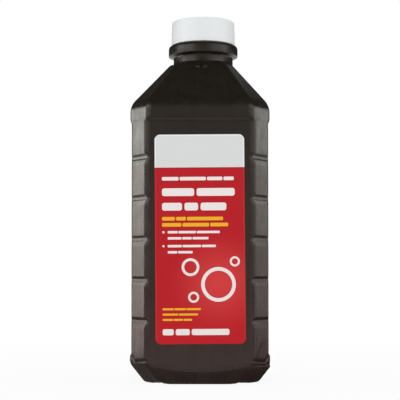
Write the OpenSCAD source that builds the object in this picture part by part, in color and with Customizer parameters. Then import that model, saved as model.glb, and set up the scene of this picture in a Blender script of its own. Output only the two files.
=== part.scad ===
// One-pint oblong bottle: a blow-moulded body with chamfered corners, finger
// grooves and a sloped shoulder, closed by a lined screw cap over a foil seal,
// with one paper label on the front and one on the back.
// The front faces -Y, +X is to its right and +Z is up. The bottle stands on
// z = 0, centred under its body. All lengths are in millimetres.

/* [Body] */
// Full width of the body over its two bands
body_w = 67.9; // [62:0.1:76]
// Full depth of the body, front to back, over its two bands
body_d = 60; // [54:0.1:66]
// Height at which the upright walls bend into the shoulder
shoulder_z = 134.1; // [131:0.1:140]
// Height at which the round neck grows out of the shoulder
neck_root_z = 156.4; // [154:0.1:162]
// Wall thickness of the body
wall = 1; // [0.8:0.05:1.6]
// How far the grip zone is set back behind the two bands
band_step = 0.8; // [0.4:0.05:1.4]
// Height of the upper band, from its lower step to the shoulder bend
top_band_h = 8.1; // [6.5:0.1:10]
// Height of the lower band's upper step on the sides
low_band_z = 13.7; // [12:0.1:16]
// Height of either step
step_h = 1.6; // [1:0.1:2]

/* [Corners] */
// Width of a corner chamfer across the front
chamfer_x = 7.9; // [6:0.1:9]
// Width of a corner chamfer along the side
chamfer_y = 12; // [9:0.1:14]
// Rounding of the upright edges
edge_r = 4.2; // [2:0.1:5]

/* [Finger grooves] */
// Number of grooves in each corner
groove_n = 5; // [1:1:5]
// Height of the lowest groove
groove_z = 29.7; // [26:0.1:34]
// Spacing of the grooves
groove_pitch = 19.53; // [15:0.01:20.5]
// Height of a groove at the chamfer's face
groove_h = 3.6; // [3:0.1:5]
// Depth of a groove
groove_depth = 1.1; // [0.7:0.05:1.4]

/* [Shoulder] */
// Radius of the bend between the side walls and the shoulder
side_bend_r = 9; // [6:0.5:13]
// Radius of the bend between the front wall and the shoulder
front_bend_r = 8; // [4:0.5:9]
// How far the shoulder's top edge stands out around the neck
shoulder_ledge = 0.75; // [0.4:0.05:1.5]
// Height of the blend between the shoulder's top edge and the round neck
neck_blend_h = 1.6; // [1:0.1:2.4]
// Width of the small step where the blend meets the round neck
neck_step = 0.25; // [0.2:0.05:0.5]
// How far the round neck's wall is rooted down inside the blend
neck_lap = 0.4; // [0.2:0.05:0.8]
// Size of the corner facets at the shoulder's top, as a part of their full size
facet_end = 0.47; // [0.3:0.01:0.6]
// Sideways offset of the neck from the middle of the body
neck_shift = 1.6; // [0:0.1:2]
// Width of the locating lug under the neck
lug_w = 5; // [3:0.1:7]
// Height of the locating lug along the slope
lug_h = 2.8; // [1.8:0.1:3.2]
// How far the locating lug stands out of the slope
lug_out = 0.6; // [0.3:0.05:1]

/* [Base] */
// How far the base bevel draws in each side
bevel_x = 7.8; // [5:0.1:10]
// Height of the base bevel on the sides
bevel_z = 9; // [7:0.1:10]
// How far the foot is set back from the front and back
foot_inset = 2.8; // [1.5:0.1:4]
// Width of the standing face around the base
foot_w = 4; // [3:0.1:6]
// Rounding of the foot's outer edge
foot_r = 1.4; // [0.8:0.1:2]
// Height of the push-up inside the standing face
pushup_h = 3; // [1.5:0.1:5]
// Width of the push-up's sloped flank
pushup_run = 5; // [3:0.1:7]
// Height of the grip panel's lower edge at its two ends
panel_low_z = 9.2; // [8.4:0.1:11]
// How far the panel's lower edge curves down in the middle
panel_sag = 2.4; // [0:0.1:3]
// Height of the small arch beside each corner foot
arch_h = 0.9; // [0.2:0.1:1.2]

/* [Neck] */
// Outer diameter of the neck below the collar
neck_d = 29.6; // [28.4:0.1:31]
// Inner diameter of the neck below the collar
neck_bore_d = 25.2; // [23:0.1:26]
// Length of the neck from its root to the collar
neck_h = 3.8; // [2:0.1:6]
// Outer diameter of the collar
collar_d = 34.5; // [33:0.1:37]
// Full height of the collar
collar_h = 5.7; // [4:0.1:6.5]
// Height of the sloped underside of the collar
collar_slope_h = 0.8; // [0.5:0.1:1.8]
// Rounding of the collar's upper edge
collar_r = 1.5; // [0.6:0.1:1.8]

/* [Neck finish] */
// Outer diameter over the bottle's thread
thread_d = 27.4; // [27:0.05:27.8]
// Diameter of the wall that carries the thread
thread_root_d = 25.1; // [24.7:0.05:25.4]
// Clear bore through the mouth
bore_d = 21.5; // [18:0.1:22]
// Height of the finish, from the collar to the sealing rim
finish_h = 9.8; // [9.4:0.1:11]
// Rise of the thread in one turn, six threads to the inch
pitch = 4.233; // [4.233:0.001:4.3]
// Length of each thread in turns
thread_turns = 1.15; // [0.8:0.05:1.2]
// Depth from the sealing rim down to the middle of the thread's upper end
thread_drop = 1.9; // [1.7:0.1:2.2]
// Width of a thread ridge where it leaves its wall
ridge_base = 2.1; // [1.6:0.05:2.2]
// Width of a thread ridge along its crest
ridge_crest = 0.8; // [0.5:0.05:1]

/* [Cap] */
// Outer diameter of the cap at its top
cap_top_d = 31.2; // [30.6:0.1:33]
// Outer diameter of the cap at its open edge
cap_low_d = 31.9; // [31.2:0.1:34]
// Thickness of the cap's top plate
cap_plate = 1.3; // [0.8:0.1:2]
// Rounding of the cap's top edge
cap_edge_r = 0.9; // [0.4:0.1:1.2]
// Radial clearance between the bottle's thread and the cap's wall
thread_clear = 0.32; // [0.3:0.01:0.5]
// Clearance between the two threads, and from the cap's ridge to the neck
ridge_clear = 0.3; // [0.25:0.01:0.4]
// Gap between the collar and the cap's open edge
cap_gap = 0.3; // [0.2:0.05:1]

/* [Liner and seal] */
// Thickness of the board liner inside the cap
liner_t = 1; // [0.6:0.1:1.4]
// Radial clearance between the liner and the cap's wall
liner_clear = 0.3; // [0.2:0.05:0.5]
// Running gap on either face of the liner
liner_gap = 0.03; // [0.02:0.01:0.1]
// Thickness of the foil seal
seal_t = 0.12; // [0.08:0.01:0.2]
// How far the seal's edge stays inside the mouth's outer edge
seal_inset = 0.1; // [0.05:0.05:0.4]

/* [Labels] */
// Width of either label
label_w = 42.6; // [30:0.1:44]
// Height of the front label
front_label_h = 99.3; // [60:0.1:102]
// Height of the back label
back_label_h = 99.3; // [60:0.1:102]
// Height of the labels' lower edges
label_z = 19.1; // [16:0.1:21]
// Corner radius of either label
label_r = 2.6; // [1:0.1:5]
// Thickness of either label
label_t = 0.12; // [0.08:0.01:0.2]
// Turn of the front label on its panel, in degrees
label_tilt = 0.4; // [0:0.1:0.6]

/* [Hidden] */

// Facets of a round face, and segments of the body's outline
$fn = 96;
front_n = 4;      // along half of the front
arc_n = 3;        // around each upright edge
side_n = 3;       // along half of a side
bend_n = 4;       // over each half of the shoulder's bend
ridge_n = 40;     // along one turn of a thread
taper_n = 5;      // over each tapered end of a thread

band_hx = body_w / 2;
band_hy = body_d / 2;
grip_hx = band_hx - band_step;
grip_hy = band_hy - band_step;

// A chamfer's line in plan: its unit normal, and how far it lies from the
// sharp corner that it takes off
chamfer_len = norm([chamfer_x, chamfer_y]);
chamfer_nx = chamfer_y / chamfer_len;
chamfer_ny = chamfer_x / chamfer_len;
chamfer_cut = chamfer_x * chamfer_nx;
front_turn = atan2(chamfer_y, chamfer_x);

// The shoulder's facets run from the bend to this level, and the round neck
// stands on the blend above it
facet_top_z = neck_root_z - neck_blend_h;
facet_top_h = neck_d / 2 + shoulder_ledge;
facet_rise = facet_top_z - shoulder_z;
side_lean = atan2(band_hx - facet_top_h, facet_rise);
front_lean = atan2(band_hy - facet_top_h, facet_rise);
facet_shift = neck_shift * 0.42;
facet_edge_r = edge_r / 2;
top_step_z = shoulder_z - top_band_h;

// The foot's outer edge
foot_hx = band_hx - bevel_x;
foot_hy = band_hy - foot_inset;
arch_half = 3;

collar_z = neck_root_z + neck_h;
collar_top_z = collar_z + collar_h;
mouth_z = collar_top_z + finish_h;
seal_top_z = mouth_z + seal_t;
liner_z = seal_top_z + liner_gap;
cap_roof_z = liner_z + liner_t + liner_gap;
cap_top_z = cap_roof_z + cap_plate;
cap_low_z = collar_top_z + cap_gap;
cap_bore_r = thread_d / 2 + thread_clear;
rim_r = 0.35;

// The cap's ridge lies below the bottle's by the sum of their half widths
// where they pass each other, and by their clearance
ridge_slope = (ridge_base - ridge_crest) / (thread_d - thread_root_d);
cap_ridge_r = thread_root_d / 2 + ridge_clear;
ridge_drop = (ridge_base + ridge_crest) / 2 + ridge_slope * (thread_clear - ridge_clear) / 2
           + ridge_clear;
ridge_root = 0.4;   // how far a ridge is rooted in its wall
ridge_end = 0.15;   // how far its tapered ends still stand out
cap_ridge_start = 0.3;   // turns by which the cap's ridge starts later

groove_r = (pow(groove_h / 2, 2) + pow(groove_depth, 2)) / (2 * groove_depth);

function lerp(a, b, t) = a + (b - a) * t;

// Cut of a chamfer whose outline, chamfers included, is drawn in by t
function drawn_in(cut, t) = cut - t * (chamfer_nx + chamfer_ny - 1);

// Half size of a wall that leans in by an angle above shoulder_z, with the
// bend rounded to radius r
function leaned(half, lean, r, z) =
    let (t = r * tan(lean / 2), up = z - shoulder_z)
    up <= -t ? half
    : up >= t * cos(lean) ? half - up * tan(lean)
    : half - r + sqrt(r * r - pow(up + t, 2));

// A quarter of the outline, from the middle of the front towards the middle
// of the right side, with y as the distance towards the front
function quarter(hx, hy, cut, r) =
    let (flat_x = hx - cut / chamfer_nx - r * tan(front_turn / 2),
         flat_y = hy - cut / chamfer_ny - r * tan((90 - front_turn) / 2))
    concat(
        [for (i = [0 : front_n - 1]) [flat_x * i / front_n, hy]],
        [for (i = [0 : arc_n]) let (a = front_turn * i / arc_n)
            [flat_x + r * sin(a), hy - r + r * cos(a)]],
        [for (i = [0 : arc_n]) let (a = lerp(front_turn, 90, i / arc_n))
            [hx - r + r * sin(a), flat_y + r * cos(a)]],
        [for (i = [1 : side_n - 1]) [hx, flat_y * (1 - i / side_n)]]);

// A quarter of a circle with as many points
function round_quarter(r) =
    let (n = front_n + 2 * arc_n + 1 + side_n)
    [for (i = [0 : n - 1]) r * [sin(90 * i / n), cos(90 * i / n)]];

// The closed outline that a quarter makes, counter-clockwise from above
function around(q, half) = concat(
    [for (p = q) [p.x, -p.y]],
    [[half, 0]],
    [for (i = [len(q) - 1 : -1 : 1]) q[i]],
    [for (p = q) [-p.x, p.y]],
    [[-half, 0]],
    [for (i = [len(q) - 1 : -1 : 1]) -q[i]]);

// A level ring of the body at height z
function ring(hx, hy, cut, r, z, shift = 0) =
    [for (p = around(quarter(hx, hy, cut, r), hx)) [p.x + shift, p.y, z]];

// A ring whose height runs from z_mid in the middle of the front, in a bow, to
// z_end at the front's ends, and on along the chamfers to z_side on the sides
function bowed_ring(hx, hy, cut, r, z_mid, z_end, z_side) =
    let (flat_x = hx - cut / chamfer_nx - r * tan(front_turn / 2))
    [for (p = around(quarter(hx, hy, cut, r), hx))
        let (x = abs(p.x))
        [p.x, p.y, x < flat_x ? lerp(z_mid, z_end, pow(x / flat_x, 2))
                              : lerp(z_end, z_side, (x - flat_x) / (hx - flat_x))]];

// A ring of the foot, arched up beside each corner foot
function foot_ring(hx, hy, cut, r, z) =
    let (flat_x = hx - cut / chamfer_nx)
    [for (p = ring(hx, hy, cut, r, z))
        let (off = min(1, abs(abs(p.x) - flat_x) / arch_half))
        p + [0, 0, arch_h * pow(cos(90 * off), 2)]];

function round_ring(r, z) =
    [for (p = around(round_quarter(r), r)) [p.x + neck_shift, p.y, z]];

// The middle of a ring whose points balance about it
function centre(points) = [for (p = points) 1 / len(points)] * points;

// The shoulder's ring at height z, drawn in by t
function shoulder_ring(z, t) =
    let (k = max(0, (z - shoulder_z) / facet_rise),
         cut = drawn_in(chamfer_cut * lerp(1, facet_end, k), t))
    ring(leaned(band_hx, side_lean, side_bend_r, z) - t,
         leaned(band_hy, front_lean, front_bend_r, z) - t,
         cut, lerp(edge_r, facet_edge_r, k), z, facet_shift * k);

// Heights of the rings that round the bend
bend_reach = side_bend_r * tan(side_lean / 2);
bend_levels = [for (i = [-bend_n : bend_n]) shoulder_z + bend_reach * i / bend_n];

outer_rings = let (cut = chamfer_cut, bevel = bevel_x / bevel_z) concat(
    // push-up, standing face and rounded foot
    [ring(foot_hx - foot_w - pushup_run, foot_hy - foot_w - pushup_run, cut / 2, edge_r, pushup_h),
     ring(foot_hx - foot_w, foot_hy - foot_w, cut * 0.75, edge_r, 0),
     foot_ring(foot_hx - foot_r, foot_hy - foot_r, cut * 0.9, edge_r, 0),
     foot_ring(foot_hx - foot_r * 0.3, foot_hy - foot_r * 0.2, cut * 0.9, edge_r, foot_r * 0.25),
     ring(foot_hx + foot_r * bevel * 0.9, foot_hy + foot_inset * 0.4, cut * 0.92, edge_r,
          foot_r * 1.1)],
    // base bevel, lower band and the lower edge of the grip zone
    [bowed_ring(band_hx - 0.8, band_hy - 0.35, cut, edge_r,
                panel_low_z - panel_sag - 1.9, panel_low_z - 2.4, bevel_z - 0.8),
     bowed_ring(band_hx, band_hy, cut, edge_r,
                panel_low_z - panel_sag - 0.7, panel_low_z - 0.7, bevel_z + 0.6),
     bowed_ring(band_hx, band_hy, cut, edge_r,
                panel_low_z - panel_sag - 0.4, panel_low_z - 0.4, low_band_z - step_h / 2),
     bowed_ring(grip_hx, grip_hy, drawn_in(cut, band_step), edge_r,
                panel_low_z - panel_sag + 0.6, panel_low_z + 0.6, low_band_z + step_h / 2)],
    // upper edge of the grip zone, upper band and shoulder
    [ring(grip_hx, grip_hy, drawn_in(cut, band_step), edge_r, top_step_z - step_h / 2),
     ring(band_hx, band_hy, cut, edge_r, top_step_z + step_h / 2)],
    [for (z = bend_levels) shoulder_ring(z, 0)],
    [shoulder_ring(facet_top_z, 0),
     round_ring(neck_d / 2 + neck_step, neck_root_z)]);

// The inside follows from the neck down, plain past the bands and grooves
inner_lean_t = wall / cos(side_lean);
inner_cut = drawn_in(chamfer_cut, band_step + wall) + groove_depth;
floor_z = wall * 1.2;
inner_rings = concat(
    [round_ring(neck_bore_d / 2 + neck_step, neck_root_z),
     round_ring(neck_bore_d / 2 + neck_step, facet_top_z),
     shoulder_ring(facet_top_z - neck_blend_h, inner_lean_t)],
    [for (i = [bend_n : -2 : 0]) shoulder_ring(bend_levels[bend_n + i], inner_lean_t)],
    [ring(grip_hx - wall, grip_hy - wall, inner_cut, edge_r, top_step_z),
     ring(grip_hx - wall, grip_hy - wall, inner_cut, edge_r, bevel_z + 1.6),
     ring(foot_hx - foot_r, foot_hy - foot_r, chamfer_cut * 0.9, edge_r, floor_z + arch_h),
     ring(foot_hx - foot_w, foot_hy - foot_w, chamfer_cut * 0.75, edge_r, floor_z),
     ring(foot_hx - foot_w - pushup_run, foot_hy - foot_w - pushup_run, chamfer_cut / 2, edge_r,
          pushup_h + floor_z)]);

// A solid skinned over a run of rings with equal numbers of points, with each
// end closed by a fan around its middle
module skin(rings) {
    n = len(rings[0]);
    last = (len(rings) - 1) * n;
    middle = last + n;
    polyhedron(
        points = concat([for (r = rings) each r], [centre(rings[0]), centre(rings[len(rings) - 1])]),
        faces = [
            for (i = [0 : len(rings) - 2], j = [0 : n - 1])
                let (a = i * n, k = (j + 1) % n)
                each [[a + j, a + n + j, a + n + k], [a + j, a + n + k, a + k]],
            for (j = [0 : n - 1])
                let (k = (j + 1) % n)
                each [[middle, j, k], [middle + 1, last + k, last + j]]],
        convexity = 6);
}

// A right-hand thread ridge on the helix that passes height z at angle 0 and
// climbs counter-clockwise, begun a number of turns along it. It stands from a
// wall of radius wall_r out, or in, to crest_r, with tapered ends
module ridge(wall_r, crest_r, turns, z, start = 0) {
    out = sign(crest_r - wall_r);
    n = ceil(turns * ridge_n);
    root_r = wall_r - out * ridge_root;
    root_half = ridge_base / 2 + ridge_slope * ridge_root;
    sections = [for (i = [0 : n])
        let (along = start + i / ridge_n,
             a = 360 * along,
             k = min(1, i / taper_n, (n - i) / taper_n),
             tip_r = lerp(wall_r + out * ridge_end, crest_r, k),
             tip_half = ridge_crest / 2 + ridge_slope * abs(crest_r - tip_r),
             up = z + pitch * along)
        [for (s = [[root_r, -root_half], [tip_r, -tip_half], [tip_r, tip_half], [root_r, root_half]])
            [s[0] * cos(a), s[0] * sin(a), up + s[1]]]];
    turn = out > 0 ? [3, 2, 1, 0] : [0, 1, 2, 3];
    last = n * 4;
    polyhedron(
        points = [for (s = sections) each s],
        faces = concat(
            [[for (j = turn) j]],
            [for (i = [0 : n - 1], j = [0 : 3])
                let (p = turn[j], q = turn[(j + 1) % 4], a = i * 4)
                each [[a + p, a + 4 + p, a + 4 + q], [a + p, a + 4 + q, a + q]]],
            [[for (j = [3 : -1 : 0]) last + turn[j]]]),
        convexity = 8);
}

// Round bars that cut the grooves across the four corner chamfers
module groove_bars() {
    cut = drawn_in(chamfer_cut, band_step);
    mid = [grip_hx - cut / chamfer_nx / 2, grip_hy - cut / chamfer_ny / 2]
        + [chamfer_nx, chamfer_ny] * (groove_r - groove_depth);
    bar = chamfer_len + 6;
    for (sx = [-1, 1], sy = [-1, 1], i = [0 : groove_n - 1])
        translate([sx * mid.x, sy * mid.y, groove_z + i * groove_pitch])
            rotate([0, 0, -sx * sy * front_turn])
                rotate([0, 90, 0])
                    cylinder(r = groove_r, h = bar, center = true, $fn = 48);
}

// Small stadium-shaped lug on the front slope, just under the neck
module lug() {
    z = facet_top_z - lug_h / 2 - 0.3;
    translate([facet_shift, -leaned(band_hy, front_lean, front_bend_r, z), z])
        rotate([-front_lean, 0, 0])
            rotate([90, 0, 0])
                translate([0, 0, -0.4])
                    linear_extrude(height = lug_out + 0.4) {
                        square([lug_w - lug_h, lug_h], center = true);
                        for (s = [-1, 1])
                            translate([s * (lug_w - lug_h) / 2, 0])
                                circle(d = lug_h, $fn = 32);
                    }
}

// Neck, collar and the plain wall of the finish
module neck() {
    r = neck_d / 2;
    rc = collar_d / 2;
    rt = thread_root_d / 2;
    rb = bore_d / 2;
    ri = neck_bore_d / 2;
    translate([neck_shift, 0, 0])
        rotate_extrude()
            polygon([[ri, neck_root_z], [ri + 2 * neck_step, neck_root_z - neck_lap],
                     [r, neck_root_z - neck_lap], [r, collar_z],
                     [rc, collar_z + collar_slope_h],
                     [rc, collar_top_z - collar_r],
                     [rc - collar_r * 0.3, collar_top_z - collar_r * 0.3],
                     [rc - collar_r, collar_top_z],
                     [rt, collar_top_z], [rt, mouth_z - rim_r], [rt - rim_r, mouth_z],
                     [rb + rim_r, mouth_z], [rb, mouth_z - rim_r],
                     [rb, collar_top_z - collar_h / 4], [ri, collar_z + collar_slope_h]]);
}

module bottle_body() color([0.17, 0.13, 0.11]) {
    difference() {
        skin(concat(outer_rings, inner_rings));
        groove_bars();
    }
    neck();
    lug();
    translate([neck_shift, 0, 0])
        ridge(thread_root_d / 2, thread_d / 2, thread_turns,
              mouth_z - thread_drop - thread_turns * pitch);
}

module screw_cap() color([0.88, 0.9, 0.9]) translate([neck_shift, 0, 0]) {
    top_r = cap_top_d / 2;
    low_r = cap_low_d / 2;
    rotate_extrude()
        polygon([[0, cap_roof_z], [cap_bore_r, cap_roof_z], [cap_bore_r, cap_low_z],
                 [low_r, cap_low_z],
                 each [for (i = [0 : 5]) [top_r - cap_edge_r * (1 - cos(18 * i)),
                                          cap_top_z - cap_edge_r * (1 - sin(18 * i))]],
                 [0, cap_top_z]]);
    ridge(cap_bore_r, cap_ridge_r, thread_turns,
          mouth_z - thread_drop - thread_turns * pitch - ridge_drop, cap_ridge_start);
}

module cap_liner() color([0.86, 0.82, 0.74])
    translate([neck_shift, 0, liner_z])
        cylinder(r = cap_bore_r - liner_clear, h = liner_t);

module foil_seal() color([0.8, 0.8, 0.82])
    translate([neck_shift, 0, mouth_z])
        cylinder(r = thread_root_d / 2 - seal_inset, h = seal_t);

// A label standing in the XZ plane, its back on y = 0, its lower edge on z = 0
module label(height) {
    rotate([90, 0, 0])
        linear_extrude(height = label_t)
            translate([0, height / 2]) {
                square([label_w - 2 * label_r, height], center = true);
                square([label_w, height - 2 * label_r], center = true);
                for (sx = [-1, 1], sy = [-1, 1])
                    translate([sx * (label_w / 2 - label_r), sy * (height / 2 - label_r)])
                        circle(r = label_r, $fn = 48);
            }
}

module front_label() color([0.72, 0.13, 0.17])
    translate([0, -grip_hy, label_z + front_label_h / 2])
        rotate([0, -label_tilt, 0])
            translate([0, 0, -front_label_h / 2])
                label(front_label_h);

module back_label() color([0.92, 0.92, 0.9])
    translate([0, grip_hy, label_z])
        rotate([0, 0, 180])
            label(back_label_h);

bottle_body();
screw_cap();
cap_liner();
foil_seal();
front_label();
back_label();
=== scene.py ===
from math import atan2, ceil, copysign, cos, hypot, pi, radians, sin, sqrt, tan

import bpy
import numpy as np
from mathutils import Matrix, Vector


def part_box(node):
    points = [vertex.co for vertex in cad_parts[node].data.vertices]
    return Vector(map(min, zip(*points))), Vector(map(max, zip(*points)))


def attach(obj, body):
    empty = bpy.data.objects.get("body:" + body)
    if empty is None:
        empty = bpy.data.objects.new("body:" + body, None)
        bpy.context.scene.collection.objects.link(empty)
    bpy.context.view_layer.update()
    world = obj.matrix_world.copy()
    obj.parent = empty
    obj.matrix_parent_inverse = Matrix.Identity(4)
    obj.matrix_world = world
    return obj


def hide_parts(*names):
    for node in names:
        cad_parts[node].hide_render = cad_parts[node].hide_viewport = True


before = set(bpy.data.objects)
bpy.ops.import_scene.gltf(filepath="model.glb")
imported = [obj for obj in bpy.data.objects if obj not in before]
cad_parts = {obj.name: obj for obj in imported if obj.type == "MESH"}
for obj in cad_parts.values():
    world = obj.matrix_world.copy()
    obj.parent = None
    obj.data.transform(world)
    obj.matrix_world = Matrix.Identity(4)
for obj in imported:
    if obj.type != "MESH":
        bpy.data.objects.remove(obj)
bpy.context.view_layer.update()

# A one-pint oblong bottle of dark plastic with a white screw cap and two labels.
# Shapes are in millimetres, in the part's own frame, until a mesh is made of them.
# The front faces -Y.
MM = 0.001


def cad_box(node):
    """A CAD node's lowest and highest corner in millimetres."""
    return [np.array(corner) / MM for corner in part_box(node)]


def cad_disc(node):
    """The radius, bottom and top of a round CAD node in millimetres."""
    low, high = cad_box(node)
    return (high[0] - low[0]) / 2, low[2], high[2]


# half width and depth over the bottle's two bands, and its mouth
BAND_X, BAND_Y, MOUTH_Z = cad_box("bottle_body")[1]
FRONT_MID_Z, BACK_MID_Z = [sum(cad_box(side + "_label"))[2] / 2 for side in ("front", "back")]

# ---- body sizes
STEP_IN = 0.8  # the grip zone's set-back
GRIP_X, GRIP_Y = BAND_X - STEP_IN, BAND_Y - STEP_IN
WALL, BASE_WALL = 1.0, 1.2
CHAMFER_X, CHAMFER_Y = 7.9, 12.0
CHAMFER_LEN = hypot(CHAMFER_X, CHAMFER_Y)
CHAMFER_NX, CHAMFER_NY = CHAMFER_Y / CHAMFER_LEN, CHAMFER_X / CHAMFER_LEN
CHAMFER_CUT = CHAMFER_X * CHAMFER_NX
BAND_CUT = CHAMFER_CUT + 1.0  # the bands' chamfers lie behind the grip pads
FRONT_TURN = atan2(CHAMFER_Y, CHAMFER_X)
EDGE_R = 4.2
NECK_X = 1.6  # the neck's sideways offset

# the shoulder, and the step at the grip zone's top
SHOULDER_Z, FACET_TOP_Z, FACET_TOP_HALF = 134.1, 154.8, 15.55
FACET_END = 0.47  # share of the chamfers that the shoulder's top keeps
SHOULDER_X = NECK_X * 0.42  # the sideways offset of its top
SIDE_BEND_R, FRONT_BEND_R = 9.0, 8.0
SIDE_LEAN = atan2(BAND_X - FACET_TOP_HALF, FACET_TOP_Z - SHOULDER_Z)
FRONT_LEAN = atan2(BAND_Y - FACET_TOP_HALF, FACET_TOP_Z - SHOULDER_Z)
BEND_REACH = SIDE_BEND_R * tan(SIDE_LEAN / 2)
TOP_STEP_Z, STEP_RISE = 126.0, 0.9  # the step's middle, and half its height
STEP_RUN_IN, STEP_RUN_OUT = 2.0, 2.4  # how far its rows reach below and above it

# the foot and the lower band; a bow is the heights at the front's middle and ends
# and at the sides
FOOT_X, FOOT_Y = BAND_X - 7.15, BAND_Y - 2.8
FOOT_W, PUSHUP_RUN, PUSHUP_H = 4.0, 5.0, 3.0
PANEL_END_Z, PANEL_SAG, SIDE_STEP_Z = 9.2, 2.4, 13.3
PANEL_LOW_Z = PANEL_END_Z - PANEL_SAG
BEVEL_TOP = (PANEL_LOW_Z - 1.2, PANEL_END_Z - 0.8, 9.0)
BAND_TOP = (PANEL_LOW_Z - 0.2, PANEL_END_Z, SIDE_STEP_Z - 0.9)
GRIP_FOOT = (PANEL_LOW_Z + 0.8, PANEL_END_Z + 0.8, SIDE_STEP_Z + 0.7)
BOW_LIFT, BEVEL_LIFT = 0.2, 1.5
BEVEL_IN, FRONT_PROUD = 0.1, 0.1  # the bevel's inset, the band's relief at the front
# rings of the base: inset, share of the chamfers' cut, corner radius, height
PUSHUP_IN = FOOT_W + PUSHUP_RUN
PUSHUP_MID = PUSHUP_IN + 6.0
BASE_RINGS = ((PUSHUP_MID, 0.2, 2.0, PUSHUP_H), (PUSHUP_IN, 0.5, EDGE_R, PUSHUP_H),
              (FOOT_W, 0.75, EDGE_R, 0.0), (0.0, 0.9, EDGE_R, 0.0))
INNER_RINGS = ((1.4, 0.9, EDGE_R, 2.1), (FOOT_W, 0.75, EDGE_R, BASE_WALL),
               (PUSHUP_IN, 0.5, EDGE_R, PUSHUP_H + BASE_WALL),
               (PUSHUP_MID, 0.2, 2.0, PUSHUP_H + BASE_WALL))
INNER_BEND_Z = 10.6  # where the inside begins to draw in

# the grooves in the corners, and the half groove above the lower band
GROOVE_LOW_Z, GROOVE_PITCH, GROOVES = 29.7, 19.53, 5
GROOVE_Z = [GROOVE_LOW_Z + GROOVE_PITCH * i for i in range(GROOVES)]
GROOVE_DEPTH, GROOVE_EDGE = 1.1, 1.5  # the second sharpens its corners
GROOVE_AT = (-3.1, -1.0, -0.55, 0.6, 1.75)  # heights from a groove's middle
GROOVE_CUT = (0.0, 0.55, 0.9, 0.95, 0.0)  # and its depth there
GROOVE_BLUR, BLUR_TAPS = 0.2, np.linspace(-2.5, 2.5, 21)
LOW_GROOVE, LOW_GROOVE_EDGE = 0.65, 1.2
# heights above its floor, and the share of its depth that is left there
LOW_GROOVE_FADE = ((0.35, 0.97), (0.6, 0.88), (0.85, 0.7), (1.05, 0.45), (1.25, 0.2),
                   (1.5, 0.05), (2.0, 0.0))

# the neck, collar, finish and thread
NECK_ROOT_Z, NECK_ROOT_R = 156.4, 14.85
NECK_R, NECK_BORE_R, BORE_R = 14.8, 12.6, 10.75
COLLAR_R, COLLAR_Z, COLLAR_TOP_Z = 17.25, 160.2, 165.9
COLLAR_UNDER = (COLLAR_Z - 0.2, COLLAR_Z + 0.6)  # at the neck and at the rim
BORE_CONE = (COLLAR_Z + 0.8, COLLAR_TOP_Z - 1.25)  # where the bore widens
FINISH_R, THREAD_R = 12.55, 13.7
PITCH, THREAD_TURNS, THREAD_DROP = 4.233, 1.15, 1.9
RIDGE_Z = MOUTH_Z - THREAD_DROP - THREAD_TURNS * PITCH

# the locating lug: outlines of its bar as inset and height, and its two domes
LUG_W, LUG_H, LUG_DROP, LUG_SUNK = 5.0, 2.8, 0.3, 0.4
LUG_BAR = ((0.0, -LUG_SUNK), (0.1, 0.02), (0.5, 0.1), (0.8, 0.14), (1.1, 0.15))
LUG_DOME, LUG_DOME_AT = 1.3, 1.7
LUG_DOME_TURNS = (0, 15, 30, 45, 60, 75)

# the unevenness of a blown bottle: parting line, the lower right corner's fuller
# bevel and crease, arches in the foot's edge
SEAM_H, SEAM_FROM_Z, SEAM_FROM_X = 0.09, 0.3, 5.0
BULGE_Z = (0.0, 2.0, 2.8, 4.0, 5.5, 7.0, 8.5, 10.0)
BULGE = (1.5, 1.5, 2.1, 3.7, 3.2, 1.7, 0.4, 0.0)
BULGE_X, BULGE_RUN = 17.0, 9.0
CREASE_Z = (3.0, 8.0, 12.7, 19.0)
CREASE_X = (25.3, 26.8, 27.3, 28.9)
CREASE_DEPTH, CREASE_END_Z, CREASE_FRONT_Y = 0.4, 23.0, -8.0
CREASE_FADE = (2.5, 7.5)  # the runs at its lower and upper end
CREASE_STEP = (0.45, 1.2)  # the ledge's wall begins this far left, and its run
CREASE_LEDGE = (3.8, 3.0)  # the ledge ends this far right, and its run
ARCH_X, ARCH_HALF, ARCH_H, ARCH_TOP_Z = 20.3, 2.2, 0.85, 2.6
ARCH_SIDE, ARCH_SIDE_X, ARCH_SIDE_RUN = 0.45, 13.0, 7.0
ARCH_Y, ARCH_Y_RUN = 19.0, 4.0

# ---- cap and closures
CAP_TOP_R, CAP_BORE_R, CAP_LIP = 15.6, 14.02, 0.9
CAP_DISH_R, CAP_RING_R, CAP_DISH = 11.6, 12.1, 0.25  # the sunk middle of its top
CAP_MOUTH = (0.25, 0.5)  # width and height of the bevel at the bore's mouth
CAP_RIDGE_R, CAP_RIDGE_START, CAP_RIDGE_DROP = FINISH_R + 0.3, 0.3, 1.756
ROOF_GAP = 0.03
DENT, DENT_IN, DENT_OUT = 0.12, 0.5, 0.4  # the ring pressed into the liner
DISH, DISH_RUN, DISH_IN = 0.22, 3.0, 0.6  # the seal's dish inside the rim
# waves in the dish: height, number around, waves outwards per mm, start
CRINKLES = ((0.05, 7, 1.0, 0.0), (0.04, 11, -1.3, 1.0))

# ---- mesh density
FRONT_SPLITS, ARC_SPLITS, CHAMFER_SPLITS, SIDE_SPLITS = 14, 8, 24, 7
SEAM_AT = (0.45, 0.18)  # columns beside the parting line, in mm from it
ROUND_SPLITS, DISC_RINGS = 192, 22
BEND_ROWS, ROOT_ROWS, INNER_ROWS, BETWEEN_GROOVES = 22, 7, 12, 7
LEVEL_Z = 24.0  # the lowest level row of the grip zone
LEVELLING = np.linspace(0.06, 0.94, 13)  # how level the rows below it are
# heights of the rows around a groove's middle
GROOVE_ROWS = (-3.6, -3.2, -2.8, -2.3, -1.8, -1.4, -1.15, -0.95, -0.75, -0.55, -0.3, 0,
               0.25, 0.45, 0.65, 0.85, 1.05, 1.25, 1.45, 1.65, 1.9, 2.3)


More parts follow.
